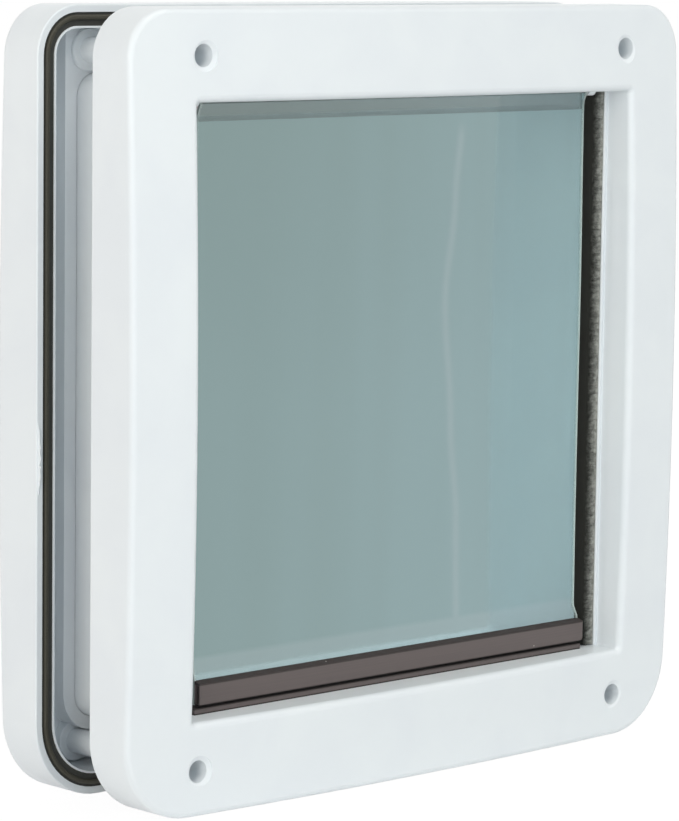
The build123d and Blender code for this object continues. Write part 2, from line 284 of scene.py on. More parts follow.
@dataclass(frozen=True)
class GasketRubber(Finish):
    """Extruded rubber with fine cells: a paler olive bead, painted light on its rounded face, and a darker
    strip beside it, painted shade in the groove.

    Attributes:
        strip: the darker colour beside the bead, painted shade in the groove.
        bead_depth: the plane where the bead ends.
        bead_blend: how far the two colours run into each other.
    """

    strip: str = "#2F302D"
    bead_depth: float = 21.45
    bead_blend: float = 0.35
    cell_size: float = 0.7
    cell_height: float = 0.12

    def pattern(self, tree: NodeTree, place: NodeSocket) -> Inputs:
        """Colours the bead apart from the strip by its depth, with painted light on the bead and painted
        shade beside it, and adds the cells.

        Args:
            tree: the material's node tree.
            place: object coordinates in metres.

        Returns:
            The shader's colour and normal.
        """
        axes = add_node(tree, "ShaderNodeSeparateXYZ", {"Vector": place})
        # painted light on the bead and painted shade on the strip behind it, split by depth
        depth = add_node(tree, "ShaderNodeMapRange", {
            "Value": axes.outputs["Y"], "From Min": (self.bead_depth - self.bead_blend) * MM,
            "From Max": (self.bead_depth + self.bead_blend) * MM})
        bead_lit_strip_shaded = add_node(tree, "ShaderNodeMix", {
            FAC: depth.outputs["Result"], RGB_A: linear(self.colour), RGB_B: linear(self.strip)
        }, data_type="RGBA")
        cells = add_node(tree, "ShaderNodeTexNoise", {
            "Vector": place, "Scale": per_metre(self.cell_size), "Detail": 4.0, "Roughness": 0.7})
        level = add_node(tree, "ShaderNodeMapRange", {
            "Value": cells.outputs["Fac"], "From Min": 0.3, "From Max": 0.7, "To Min": 0.75, "To Max": 1.3})
        shade = add_node(tree, "ShaderNodeHueSaturation", {
            "Color": bead_lit_strip_shaded.outputs[RGB], "Value": level.outputs["Result"]})
        bump = add_node(tree, "ShaderNodeBump", {
            "Height": cells.outputs["Fac"], "Distance": self.cell_height * MM, "Strength": 0.6})
        return {"Base Color": shade.outputs["Color"], "Normal": bump.outputs["Normal"]}


@dataclass(frozen=True)
class PileFibre(Finish):
    """Crimped nylon pile: charcoal tufts that differ a little. They are paler at the wall, with dust and
    painted light on the pile's lit front, and darker at their tips, painted shade where they lie in shadow.

    Attributes:
        dusty: the colour of the dustiest roots, which also carries painted light on the pile's lit front.
        wall: how far from the middle the roots are.
        tip: how far from the middle the tips are.
        specular: its weak shine.
    """

    dusty: str = "#B2B3AC"
    tuft_size: float = 2.2
    wall: float = 153.0
    tip: float = 144.7
    specular: float = 0.15

    def pattern(self, tree: NodeTree, place: NodeSocket) -> Inputs:
        """Fades each fibre from a dusty, lit root to a dark, shaded tip, tuft by tuft: dust with painted
        light, and painted shade.

        Args:
            tree: the material's node tree.
            place: object coordinates in metres.

        Returns:
            The shader's colour and specular level.
        """
        axes = add_node(tree, "ShaderNodeSeparateXYZ", {"Vector": place})
        out = add_node(tree, "ShaderNodeMath", {0: axes.outputs["X"]}, operation="ABSOLUTE")
        # paler towards the wall: dust and painted light on the lit front; darker towards the tips: painted
        # shade
        root = add_node(tree, "ShaderNodeMapRange", {
            "Value": out.outputs["Value"], "From Min": self.tip * MM, "From Max": self.wall * MM})
        tuft = add_node(tree, "ShaderNodeTexNoise", {
            "Vector": place, "Scale": per_metre(self.tuft_size), "Detail": 3.0, "Roughness": 0.6})
        dust = add_node(tree, "ShaderNodeMath", {
            0: root.outputs["Result"], 1: tuft.outputs["Fac"]}, operation="MULTIPLY")
        spread = add_node(tree, "ShaderNodeMapRange", {
            "Value": dust.outputs["Value"], "From Min": 0.05, "From Max": 0.55})
        shade = add_node(tree, "ShaderNodeMix", {
            FAC: spread.outputs["Result"], RGB_A: linear(self.colour), RGB_B: linear(self.dusty)
        }, data_type="RGBA")
        return {"Base Color": shade.outputs[RGB], "Specular IOR Level": self.specular}


@dataclass(frozen=True)
class ExtrudedPvc(Finish):
    """Rigid brown PVC from a die: fine lines along its length, a silky gloss, a little pale dust, and painted
    shade in dark bands at the bar's gaps and top bevel.

    Attributes:
        line: the colour in the die's lines.
        speck_from: the share of a cell that a speck of dust fills.
        speck_to: where it has faded out.
        speck_share: how much of the colour it covers.
        painted_shade_bands: pairs of height and share of painted shade: the gap between bar and threshold,
            the threshold's foot and the bar's top bevel.
    """

    line: str = "#5A5150"
    line_length: float = 90.0
    line_width: float = 0.5
    line_depth: float = 0.012
    dust: str = "#B9B2AF"
    dust_size: float = 17.0
    speck_from: float = 0.018
    speck_to: float = 0.03
    speck_share: float = 0.8
    # painted shade: a near-black colour, rougher, laid in bands where the bar and the threshold meet and
    # along the bar's top bevel
    painted_shade: str = "#130B0A"
    painted_shade_roughness: float = 0.9
    painted_shade_bands: Line = (
        (47.9, 1.0), (48.4, 1.0), (48.8, 0.0), (50.2, 0.0), (51.0, 0.95), (52.5, 0.95), (53.1, 0.0),
        (62.3, 0.0), (62.8, 0.7), (63.5, 0.8))

    def pattern(self, tree: NodeTree, place: NodeSocket) -> Inputs:
        """Draws the die's lines along X, painted shade in bands along the gaps and edges, and a few specks of
        dust.

        Args:
            tree: the material's node tree.
            place: object coordinates in metres.

        Returns:
            The shader's colour, roughness and normal.
        """
        fine = per_metre(self.line_width)
        run = add_node(tree, "ShaderNodeMapping", {
            "Vector": place, "Scale": (per_metre(self.line_length), fine, fine)})
        lines = add_node(tree, "ShaderNodeTexNoise", {
            "Vector": run.outputs["Vector"], "Scale": 1.0, "Detail": 3.0})
        tone = add_node(tree, "ShaderNodeMapRange", {
            "Value": lines.outputs["Fac"], "From Min": 0.35, "From Max": 0.7})
        body = add_node(tree, "ShaderNodeMix", {
            FAC: tone.outputs["Result"], RGB_A: linear(self.line), RGB_B: linear(self.colour)
        }, data_type="RGBA")
        # painted shade: darkens the bar and the threshold in bands by height (the gap between them, the
        # threshold's foot, the bar's top bevel) and makes them rougher there
        low, high = self.painted_shade_bands[0][0], self.painted_shade_bands[-1][0]
        axes = add_node(tree, "ShaderNodeSeparateXYZ", {"Vector": place})
        height = add_node(tree, "ShaderNodeMapRange", {
            "Value": axes.outputs["Z"], "From Min": low * MM, "From Max": high * MM})
        bands = add_node(tree, "ShaderNodeValToRGB", {"Fac": height.outputs["Result"]})
        stops = bands.color_ramp.elements
        while len(stops) < len(self.painted_shade_bands):
            stops.new(1.0)
        for stop, (at, share) in zip(stops, self.painted_shade_bands):
            stop.position = (at - low) / (high - low)
            stop.color = (share, share, share, 1.0)
        shaded_body = add_node(tree, "ShaderNodeMix", {
            FAC: bands.outputs["Color"], RGB_A: body.outputs[RGB], RGB_B: linear(self.painted_shade)
        }, data_type="RGBA")
        gloss = add_node(tree, "ShaderNodeMapRange", {
            "Value": bands.outputs["Color"], "To Min": self.roughness, "To Max": self.painted_shade_roughness})
        specks = add_node(tree, "ShaderNodeTexVoronoi", {"Vector": place, "Scale": per_metre(self.dust_size)})
        speck = add_node(tree, "ShaderNodeMapRange", {
            "Value": specks.outputs["Distance"], "From Min": self.speck_from, "From Max": self.speck_to,
            "To Min": self.speck_share, "To Max": 0.0})
        dusty = add_node(tree, "ShaderNodeMix", {
            FAC: speck.outputs["Result"], RGB_A: shaded_body.outputs[RGB], RGB_B: linear(self.dust)
        }, data_type="RGBA")
        bump = add_node(tree, "ShaderNodeBump", {
            "Height": lines.outputs["Fac"], "Distance": self.line_depth * MM, "Strength": 0.6})
        return {"Base Color": dusty.outputs[RGB], "Roughness": gloss.outputs["Result"],
                "Normal": bump.outputs["Normal"]}


@dataclass(frozen=True)
class ClearVinyl(Finish):
    """Soft clear PVC, calendered: a smoky green tint and faint upright streaks. Painted light makes it paler
    towards the right and painted shade less pale towards the top. It has painted highlights on the crease, on
    the cut edges and along the bar.

    Attributes:
        pale: the tint's palest colour, reached towards the right by painted light.
        cut: the colour of the painted highlight on the cut edges.
        turned: the colour of the hem, paler than the sheet's tint, which also lifts the shade in the loop
            under the top lip as painted light.
        cast: the tint of the light that passes through.
        low_share: how pale the tint is at the left.
        painted_light_share: how much paler it is at the right, as painted light.
        top_shade_share: how much less pale it is at top_shade_to, from none at top_shade_from, as painted
            shade towards the top.
        edge: how far from the middle the sheet reaches.
        haze_factor: how much rougher the haziest patches are.
    """

    pale: str = "#BEE0E5"
    cut: str = "#CDD9D5"
    edge_highlight_share: float = 0.6
    crease_highlight: str = "#DDEDF1"
    crease_highlight_share: float = 0.35
    turned: str = "#E9DDDC"
    cast: str = "#D8D0CE"
    low_share: float = 0.17
    painted_light_share: float = 0.84
    top_shade_from: float = 200.0
    top_shade_to: float = 345.0
    top_shade_share: float = 0.2
    edge: float = 140.0
    streak_width: float = 34.0
    streak_length: float = 700.0
    streak_share: float = 0.35
    haze_size: float = 40.0
    haze_factor: float = 2.0

    def pattern(self, tree: NodeTree, place: NodeSocket) -> Inputs:
        """Lets light through with a streaky tint and a patchy haze. Paints light and shade into the tint:
        paler to the right, less pale to the top, and paler on the crease, along the bar and on the hem.

        Args:
            tree: the material's node tree.
            place: object coordinates in metres.

        Returns:
            The shader's colour, roughness and transmission.
        """
        fine = per_metre(self.streak_width)
        run = add_node(tree, "ShaderNodeMapping", {
            "Vector": place, "Scale": (fine, fine, per_metre(self.streak_length))})
        streak = add_node(tree, "ShaderNodeTexNoise", {
            "Vector": run.outputs["Vector"], "Scale": 1.0, "Detail": 2.0, "Distortion": 0.3})
        axes = add_node(tree, "ShaderNodeSeparateXYZ", {"Vector": place})
        # painted light: the tint grows paler from left to right
        across = add_node(tree, "ShaderNodeMapRange", {
            "Value": axes.outputs["X"], "From Min": -self.edge * MM, "From Max": self.edge * MM})
        tone = add_node(tree, "ShaderNodeMix", {
            FAC: self.streak_share, VAL_A: across.outputs["Result"], VAL_B: streak.outputs["Fac"]})
        level = add_node(tree, "ShaderNodeMath", {
            0: tone.outputs[VAL], 1: self.painted_light_share, 2: self.low_share}, operation="MULTIPLY_ADD")
        # painted shade: the tint grows less pale towards the top
        dull = add_node(tree, "ShaderNodeMapRange", {
            "Value": axes.outputs["Z"], "From Min": self.top_shade_from * MM, "From Max": self.top_shade_to * MM,
            "To Min": 0.0, "To Max": self.top_shade_share})
        share = add_node(tree, "ShaderNodeMath", {
            0: level.outputs["Value"], 1: dull.outputs["Result"]}, operation="SUBTRACT", use_clamp=True)
        tint = add_node(tree, "ShaderNodeMix", {
            FAC: share.outputs["Value"], RGB_A: linear(self.colour), RGB_B: linear(self.pale)
        }, data_type="RGBA")
        # painted highlight: paler along the crease and along the sheet's lower edge above the bar, by the
        # crease attribute
        crease = add_node(tree, "ShaderNodeAttribute", attribute_name="crease")
        crease_highlit = add_node(tree, "ShaderNodeMath", {
            0: crease.outputs["Fac"], 1: self.crease_highlight_share}, operation="MULTIPLY")
        paler = add_node(tree, "ShaderNodeMix", {
            FAC: crease_highlit.outputs["Value"], RGB_A: tint.outputs[RGB], RGB_B: linear(self.crease_highlight)
        }, data_type="RGBA")
        # the hem's own paler tint, which also paints light over the shade in the loop under the top lip
        hem = add_node(tree, "ShaderNodeAttribute", attribute_name="hem")
        hem_lifted = add_node(tree, "ShaderNodeMix", {
            FAC: hem.outputs["Fac"], RGB_A: paler.outputs[RGB], RGB_B: linear(self.turned)
        }, data_type="RGBA")
        haze = add_node(tree, "ShaderNodeTexNoise", {
            "Vector": place, "Scale": per_metre(self.haze_size), "Detail": 4.0})
        gloss = add_node(tree, "ShaderNodeMapRange", {
            "Value": haze.outputs["Fac"], "From Min": 0.3, "From Max": 0.7,
            "To Min": self.roughness, "To Max": self.roughness * self.haze_factor})
        return {"Base Color": hem_lifted.outputs[RGB], "Roughness": gloss.outputs["Result"],
                "Transmission Weight": 1.0}

    def surface(self, tree: NodeTree, shader: Node) -> NodeSocket:
        """Gives the cut edges a painted highlight, and lets tinted light through to what is behind the sheet.

        Args:
            tree: the material's node tree.
            shader: its shader.

        Returns:
            The socket that feeds the output.
        """
        # painted highlight: a pale diffuse shade mixed in on the cut edges
        cut = add_node(tree, "ShaderNodeAttribute", attribute_name="cut")
        share = add_node(tree, "ShaderNodeMath", {
            0: cut.outputs["Fac"], 1: self.edge_highlight_share}, operation="MULTIPLY")
        pale = add_node(tree, "ShaderNodeBsdfDiffuse", {"Color": linear(self.cut)})
        edged = add_node(tree, "ShaderNodeMixShader", {
            0: share.outputs["Value"], 1: shader.outputs["BSDF"], 2: pale.outputs["BSDF"]})
        path = add_node(tree, "ShaderNodeLightPath")
        film = add_node(tree, "ShaderNodeBsdfTransparent", {"Color": linear(self.cast)})
        both = add_node(tree, "ShaderNodeMixShader", {
            0: path.outputs["Is Shadow Ray"], 1: edged.outputs["Shader"], 2: film.outputs["BSDF"]})
        return both.outputs["Shader"]


@dataclass(frozen=True)
class BrightSteel(Finish):
    """Zinc-plated steel: bright, with dull patches in the plating.

    Attributes:
        dull: the patches' colour.
        dull_roughness: what the patches add to the roughness.
    """

    dull: str = "#8E8F90"
    dull_roughness: float = 0.2
    patch_size: float = 3.0

    def pattern(self, tree: NodeTree, place: NodeSocket) -> Inputs:
        """Adds dull patches to the plating.

        Args:
            tree: the material's node tree.
            place: object coordinates in metres.

        Returns:
            The shader's colour, roughness and metallic share.
        """
        patch = add_node(tree, "ShaderNodeTexNoise", {
            "Vector": place, "Scale": per_metre(self.patch_size), "Detail": 4.0})
        tone = add_node(tree, "ShaderNodeMix", {
            FAC: patch.outputs["Fac"], RGB_A: linear(self.colour), RGB_B: linear(self.dull)
        }, data_type="RGBA")
        gloss = add_node(tree, "ShaderNodeMapRange", {
            "Value": patch.outputs["Fac"],
            "To Min": self.roughness, "To Max": self.roughness + self.dull_roughness})
        return {"Base Color": tone.outputs[RGB], "Roughness": gloss.outputs["Result"], "Metallic": 1.0}


@dataclass(frozen=True)
class FerriteRubber(Finish):
    """Magnetic rubber strip: matt, nearly black, with a fine grain of ferrite powder.

    Attributes:
        grain: the powder's colour.
    """

    grain: str = "#3A3634"
    grain_size: float = 0.6

    def pattern(self, tree: NodeTree, place: NodeSocket) -> Inputs:
        """Adds the powder's grain.

        Args:
            tree: the material's node tree.
            place: object coordinates in metres.

        Returns:
            The shader's colour.
        """
        powder = add_node(tree, "ShaderNodeTexNoise", {
            "Vector": place, "Scale": per_metre(self.grain_size), "Detail": 3.0})
        tone = add_node(tree, "ShaderNodeMix", {
            FAC: powder.outputs["Fac"], RGB_A: linear(self.colour), RGB_B: linear(self.grain)
        }, data_type="RGBA")
        return {"Base Color": tone.outputs[RGB]}


class Palette:
    """Every finish of the door, made once."""

    def __init__(self) -> None:
        """Makes one material for each slot."""
        self.made: dict[Slot, Material] = {
            Slot.WHITE: MouldedAbs("moulded_white_abs", "#E9EEF1", 0.30).material(),
            Slot.GASKET: GasketRubber("extruded_black_rubber", "#3B392F", 0.7).material(),
            Slot.PILE: PileFibre("crimped_nylon_pile", "#272825", 0.85).material(),
            Slot.BROWN: ExtrudedPvc("extruded_brown_pvc", "#605654", 0.42).material(),
            Slot.MAGNET: FerriteRubber("ferrite_rubber_strip", "#1D1B1A", 0.7).material(),
            Slot.SHEET: ClearVinyl("calendered_clear_pvc", "#A5C1BE", 0.05).material(),
            Slot.STEEL: BrightSteel("zinc_plated_steel", "#C9CBCC", 0.28).material(),
        }

    def of(self, slot: Slot) -> Material:
        """The material of one slot."""
        return self.made[slot]


# Building and placing pieces


def dress_node(frame: dict, node: str, material: Material) -> None:
    """Gives a carried-over CAD node its finish.

    Args:
        node: the node's name.
        material: its finish.
    """
    obj = frame["nodes"][node]
    obj.data.materials.clear()
    obj.data.materials.append(material)
    LOG.info("%s: %s", node, material.name)


def new_object(name: str, mesh: Mesh) -> Object:
    """Puts a mesh into the scene as an object at the origin.

    Args:
        name: the object's name.
        mesh: its mesh.

    Returns:
        The object.
    """
    obj = bpy.data.objects.new(name, mesh)
    bpy.context.scene.collection.objects.link(obj)
    return obj


def settle(obj: Object, body: Body, nodes: Sequence[str] = ()) -> None:
    """Attaches a finished piece to its body, and hides the CAD nodes it stands for.

    Args:
        obj: the piece.
        body: the body it moves with.
        nodes: the CAD nodes it replaces.
    """
    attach(obj, body.value)
    if nodes:
        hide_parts(*nodes)
    LOG.info("%s: %d faces on %s", obj.name, len(obj.data.polygons), body.value)


def shell_of_rings(mesh: BMesh, rings: Sequence[Ring], capped: bool = True) -> None:
    """Joins rings of points, given in millimetres, into a closed shell.

    Args:
        mesh: the mesh to add to.
        rings: loops with the same number of points, in order along the shell.
        capped: whether the two ends are closed with flat faces.
    """
    loops = [[mesh.verts.new((x * MM, y * MM, z * MM)) for x, y, z in ring] for ring in rings]
    count = len(loops[0])
    for near, far in zip(loops, loops[1:]):
        for i in range(count):
            j = (i + 1) % count
            mesh.faces.new((near[i], near[j], far[j], far[i]))
    if capped:
        mesh.faces.new(list(reversed(loops[0])))
        mesh.faces.new(loops[-1])


def finish_mesh(mesh: BMesh, name: str, material: Material, smooth_deg: float = 35.0) -> Mesh:
    """Turns working geometry into a mesh with outward faces, smooth up to an angle.

    Args:
        mesh: the working geometry, which is freed.
        name: the mesh's name.
        material: its finish.
        smooth_deg: edges sharper than this stay sharp.

    Returns:
        The mesh.
    """
    bmesh.ops.recalc_face_normals(mesh, faces=mesh.faces[:])
    for face in mesh.faces:
        face.smooth = True
    for edge in mesh.edges:
        edge.smooth = len(edge.link_faces) == 2 and edge.calc_face_angle() < math.radians(smooth_deg)
    made = bpy.data.meshes.new(name)
    mesh.to_mesh(made)
    mesh.free()
    made.materials.append(material)
    return made


def start_tree(name: str, sizes: dict[str, str]) -> tuple[NodeTree, Node]:
    """Starts a Geometry Nodes tree that takes a piece and a few named sizes.

    Args:
        name: the tree's name.
        sizes: the type of each size, by its name.

    Returns:
        The tree and the node that gives its inputs.
    """
    tree = bpy.data.node_groups.new(name, "GeometryNodeTree")
    tree.interface.new_socket("Geometry", in_out="INPUT", socket_type="NodeSocketGeometry")
    for label, kind in sizes.items():
        tree.interface.new_socket(label, in_out="INPUT", socket_type=kind)
    tree.interface.new_socket("Geometry", in_out="OUTPUT", socket_type="NodeSocketGeometry")
    return tree, add_node(tree, "NodeGroupInput")


def run_tree(tree: NodeTree, obj: Object, result: NodeSocket, material: Material,
             sizes: dict[str, float]) -> None:
    """Ends a Geometry Nodes tree, runs it on a piece and keeps the result as a plain mesh.

    Args:
        tree: the tree.
        obj: the piece.
        result: the geometry that the tree has made.
        material: the finish that it gets.
        sizes: the value of each size, by its name.
    """
    real = add_node(tree, "GeometryNodeRealizeInstances", {"Geometry": result})
    dressed = add_node(tree, "GeometryNodeSetMaterial", {
        "Geometry": real.outputs["Geometry"], "Material": material})
    add_node(tree, "NodeGroupOutput", {"Geometry": dressed.outputs["Geometry"]})
    modifier = obj.modifiers.new(tree.name, "NODES")
    modifier.node_group = tree
    for socket in tree.interface.items_tree:
        if socket.name in sizes:
            modifier[socket.identifier] = sizes[socket.name]
    graph = bpy.context.evaluated_depsgraph_get()
    made = bpy.data.meshes.new_from_object(obj.evaluated_get(graph))
    obj.modifiers.clear()
    obj.data = made


def spaced(low: float, high: float, count: int) -> list[float]:
    """Evenly spaced values from one end to the other."""
    return [low + (high - low) * i / (count - 1) for i in range(count)]


def between(points: Line, at: float) -> float:
    """Reads a smooth line through a few points.

    Args:
        points: pairs of place and value, in rising order of place.
        at: the place to read.

    Returns:
        The value there, eased between its neighbours.
    """
    if at <= points[0][0]:
        return points[0][1]
    for (a, va), (b, vb) in zip(points, points[1:]):
        if at <= b:
            t = (at - a) / (b - a)
            return va + (vb - va) * (3 * t * t - 2 * t ** 3)
    return points[-1][1]


# Sub-assemblies


@dataclass
class Frames:
    """The two white mouldings and the gasket between the rear one and the door leaf.

    Attributes:
        rim_depth: the rear rim's plane.
        wall: half the frames' width.
        flash_low: where the ragged mould flash on the rear rim starts.
        flash_high: where it ends.
        flash_inset: how far inside the frame's side it stands.
        flash_root: how deep it is rooted behind the rim's plane.
        flash_least: how far it stands forward of the rim at least.
        flash_reach: how much further it may stand.
        flash_ragged: the shares of that reach between which it jumps.
        flash_lean: how far its edge leans in or out.
        flash_swell: below one, it rises fast at its ends.
        flash_tip_share: its edge's thickness as a share of its root's.
    """

    rim_depth: float = 21.0
    wall: float = 195.0
    flash_low: float = 157.0
    flash_high: float = 193.0
    flash_inset: float = 0.9
    flash_root: float = 0.6
    flash_least: float = 0.15
    flash_reach: float = 2.6
    flash_ragged: tuple[float, float] = (0.35, 1.0)
    flash_lean: tuple[float, float] = (-0.15, 0.25)
    flash_swell: float = 0.7
    flash_thickness: float = 0.35
    flash_tip_share: float = 0.4
    flash_steps: int = 46
    flash_seed: int = 17

    def dress(self, frame: dict, palette: Palette) -> None:
        """Gives the mouldings and the gasket their finishes, and adds the mould flash.

        Args:
            palette: the finishes.
        """
        for node in ("front_frame", "rear_frame"):
            dress_node(frame, node, palette.of(Slot.WHITE))
        dress_node(frame, "rear_gasket", palette.of(Slot.GASKET))
        settle(self.mould_flash(palette.of(Slot.WHITE)), Body.FRAME)

    def mould_flash(self, material: Material) -> Object:
        """A thin ragged fin left along the rear rim's outer edge by the mould.

        Args:
            material: the mouldings' finish.

        Returns:
            The fin.
        """
        draw = random.Random(self.flash_seed)
        mesh = bmesh.new()
        rings: list[Ring] = []
        outer = -self.wall + self.flash_inset
        root = self.rim_depth + self.flash_root
        for i, z in enumerate(spaced(self.flash_low, self.flash_high, self.flash_steps)):
            swell = math.sin(math.pi * i / (self.flash_steps - 1)) ** self.flash_swell
            reach = self.flash_least + self.flash_reach * swell * draw.uniform(*self.flash_ragged)
            lean = draw.uniform(*self.flash_lean)
            tip = self.rim_depth - reach
            rings.append([
                (outer, root, z),
                (outer + lean, tip, z),
                (outer + lean + self.flash_thickness * self.flash_tip_share, tip, z),
                (outer + self.flash_thickness, root, z),
            ])
        shell_of_rings(mesh, rings)
        return new_object("rim_mould_flash", finish_mesh(mesh, "rim_mould_flash", material))


@dataclass
class BrushSeal:
    """One brush seal: a backing with a dense pile that Geometry Nodes plant on it.

    Real fibres are finer. These are as thick as they need to be to show in the render.

    Attributes:
        side: which wall of the passage it is on.
        reach: the fibres' length.
        core_reach: how far the pile's dense core stands out.
        core_waves: height, turn per millimetre and start of each wave along the core.
        seat: the gap that keeps the core's sides off the frame.
        shoulder: how far the core's shoulders lie below its crown.
        crown_lead: where the crown starts, in front of the middle.
        crown_tail: where it ends, in front of the rear side.
        bare_across: what stays bare of fibres across the strip.
        bare_along: what stays bare along it.
        fibre_levels: share of the length, sway and width at each level of a fibre.
        fibre_scale: the shares between which the fibres' sizes differ.
        lean_deg: how far they lean at most.
    """

    side: Side
    wall: float = 154.0
    backing: float = 1.0
    front: float = -34.4
    rear: float = -25.8
    low: float = 48.6
    high: float = 353.4
    reach: float = 8.4
    core_reach: float = 8.0
    core_inset: float = 0.7
    core_rings: int = 90
    core_waves: tuple[Point, ...] = ((0.15, 0.21, 0.0), (0.1, 0.53, 1.0))
    seat: float = 0.05
    shoulder: float = 1.0
    shoulder_tail: float = 0.15
    crown_lead: float = 2.2
    crown_tail: float = 0.5
    bare_across: float = 0.7
    bare_along: float = 0.8
    fibre_sides: int = 3
    fibre_radius: float = 0.19
    fibre_levels: tuple[Point, ...] = ((0.0, 0.0, 1.0), (0.55, 0.07, 0.9), (1.0, -0.05, 0.45))
    fibre_scale: tuple[float, float] = (0.8, 1.0)
    fibre_density_per_mm2: float = 4.8
    lean_deg: float = 14.0
    seed: int = 5

    @property
    def name(self) -> str:
        """The piece's name."""
        return f"pile_brush_{self.side.name.lower()}"

    @property
    def node(self) -> str:
        """The CAD node it stands for."""
        return f"pile_seal_{self.side.name.lower()}"

    def build(self, palette: Palette) -> None:
        """Makes the seal and puts it in place.

        Args:
            palette: the finishes.
        """
        pile = palette.of(Slot.PILE)
        obj = new_object(self.name, self.bed(pile))
        fibre = new_object(f"{self.name}_fibre", self.fibre(pile))
        self.plant(obj, fibre, pile)
        settle(obj, Body.FRAME, [self.node])

    def bed(self, material: Material) -> Mesh:
        """The backing and the pile's dense core, as one long body.

        Args:
            material: the pile's finish.

        Returns:
            The mesh.
        """
        mesh = bmesh.new()
        rings: list[Ring] = []
        base = self.wall - self.backing
        middle = (self.front + self.rear) / 2
        for z in spaced(self.low, self.high, self.core_rings):
            wave = sum(height * math.sin(z * rate + start) for height, rate, start in self.core_waves)
            crown = base - self.core_reach + wave
            outline = (
                (self.wall - self.seat, self.front + self.seat),
                (base, self.front + self.seat),
                (crown + self.shoulder, self.front + self.core_inset),
                (crown, middle - self.crown_lead),
                (crown, self.rear - self.crown_tail),
                (crown + self.shoulder, self.rear - self.shoulder_tail),
                (base, self.rear - self.seat),
                (self.wall - self.seat, self.rear - self.seat),
            )
            rings.append([(self.side.value * x, y, z) for x, y in outline])
        shell_of_rings(mesh, rings)
        return finish_mesh(mesh, self.name, material)

    def fibre(self, material: Material) -> Mesh:
        """One crimped, tapered fibre along Z, at the origin.

        Args:
            material: the pile's finish.

        Returns:
            The mesh.
        """
        mesh = bmesh.new()
        rings: list[Ring] = []
        turns = [2 * math.pi * k / self.fibre_sides for k in range(self.fibre_sides)]
        for height, sway, width in self.fibre_levels:
            radius = width * self.fibre_radius
            off, z = sway * self.reach, height * self.reach
            rings.append([(radius * math.cos(turn) + off, radius * math.sin(turn), z) for turn in turns])
        shell_of_rings(mesh, rings)
        return finish_mesh(mesh, f"{self.name}_fibre", material, smooth_deg=180.0)

    def plant(self, obj: Object, fibre: Object, material: Material) -> None:
        """Plants the pile over the backing with Geometry Nodes.

        Args:
            obj: the seal's bed.
            fibre: one fibre, which is removed afterwards.
            material: the pile's finish.
        """
        tree, given = start_tree(f"{self.name}_planting", {
            "Density": "NodeSocketFloat", "Lean": "NodeSocketFloat", "Seed": "NodeSocketInt"})
        patch = add_node(tree, "GeometryNodeMeshGrid", {
            "Size X": (self.rear - self.front - self.bare_across) * MM,
            "Size Y": (self.high - self.low - self.bare_along) * MM,
            "Vertices X": 2, "Vertices Y": 2})
        sign = self.side.value
        middle = Vector((sign * (self.wall - self.backing), (self.front + self.rear) / 2,
                         (self.low + self.high) / 2)) * MM
        turned = Matrix(((0, 0, -sign), (1, 0, 0), (0, -sign, 0)))
        stand = add_node(tree, "GeometryNodeTransform", {
            "Geometry": patch.outputs["Mesh"], "Translation": middle, "Rotation": turned.to_euler()})
        seed = given.outputs["Seed"]
        points = add_node(tree, "GeometryNodeDistributePointsOnFaces", {
            "Mesh": stand.outputs["Geometry"], "Density": given.outputs["Density"], "Seed": seed})
        low, high = (add_node(tree, "ShaderNodeVectorMath", {
            0: (end, end, 0.0), "Scale": given.outputs["Lean"]}, operation="SCALE") for end in (-1.0, 1.0))
        # Random Value takes and gives a vector at its first sockets, and a number at those that follow.
        sway = add_node(tree, "FunctionNodeRandomValue", {
            0: low.outputs["Vector"], 1: high.outputs["Vector"], "Seed": seed}, data_type="FLOAT_VECTOR")
        spin = add_node(tree, "FunctionNodeRandomValue", {
            2: 0.0, 3: 2 * math.pi, "Seed": seed}, data_type="FLOAT")
        spun = add_node(tree, "ShaderNodeCombineXYZ", {"Z": spin.outputs[1]})
        aim = add_node(tree, "FunctionNodeRotateRotation", {
            "Rotation": points.outputs["Rotation"], "Rotate By": sway.outputs[0]}, rotation_space="LOCAL")
        aimed = add_node(tree, "FunctionNodeRotateRotation", {
            "Rotation": aim.outputs["Rotation"], "Rotate By": spun.outputs["Vector"]}, rotation_space="LOCAL")
        size = add_node(tree, "FunctionNodeRandomValue", {
            2: self.fibre_scale[0], 3: self.fibre_scale[1], "Seed": seed}, data_type="FLOAT")
        stem = add_node(tree, "GeometryNodeObjectInfo", {"Object": fibre, "As Instance": True})
        planted = add_node(tree, "GeometryNodeInstanceOnPoints", {
            "Points": points.outputs["Points"], "Instance": stem.outputs["Geometry"],
            "Rotation": aimed.outputs["Rotation"], "Scale": size.outputs[1]})
        both = add_node(tree, "GeometryNodeJoinGeometry")
        tree.links.new(given.outputs["Geometry"], both.inputs["Geometry"])
        tree.links.new(planted.outputs["Instances"], both.inputs["Geometry"])
        run_tree(tree, obj, both.outputs["Geometry"], material, {
            "Density": self.fibre_density_per_mm2 / MM ** 2, "Lean": math.radians(self.lean_deg),
            "Seed": self.seed})
        bpy.data.objects.remove(fibre)


@dataclass(frozen=True)
class Wave:
    """One set of upright waves in the hanging sheet.

    Attributes:
        height: how far they stand out.
        width: the distance from crest to crest.
        sway: how far the crests wander sideways, in radians.
        sway_length: the height over which they do so.
        shift: how far the waves are moved across the sheet.
        start: where they start, in radians.
    """

    height: float
    width: float
    sway: float
    sway_length: float
    shift: float = 0.0
    start: float = 0.0

    def at(self, x: float, z: float) -> float:
        """How far the waves stand out at one place.

        Args:
            x: place across the sheet.
            z: height.

        Returns:
            The distance towards the rear.
        """
        across = 2 * math.pi * (x + self.shift) / self.width
        wander = self.sway * math.sin(2 * math.pi * z / self.sway_length)
        return self.height * math.sin(across + wander + self.start)


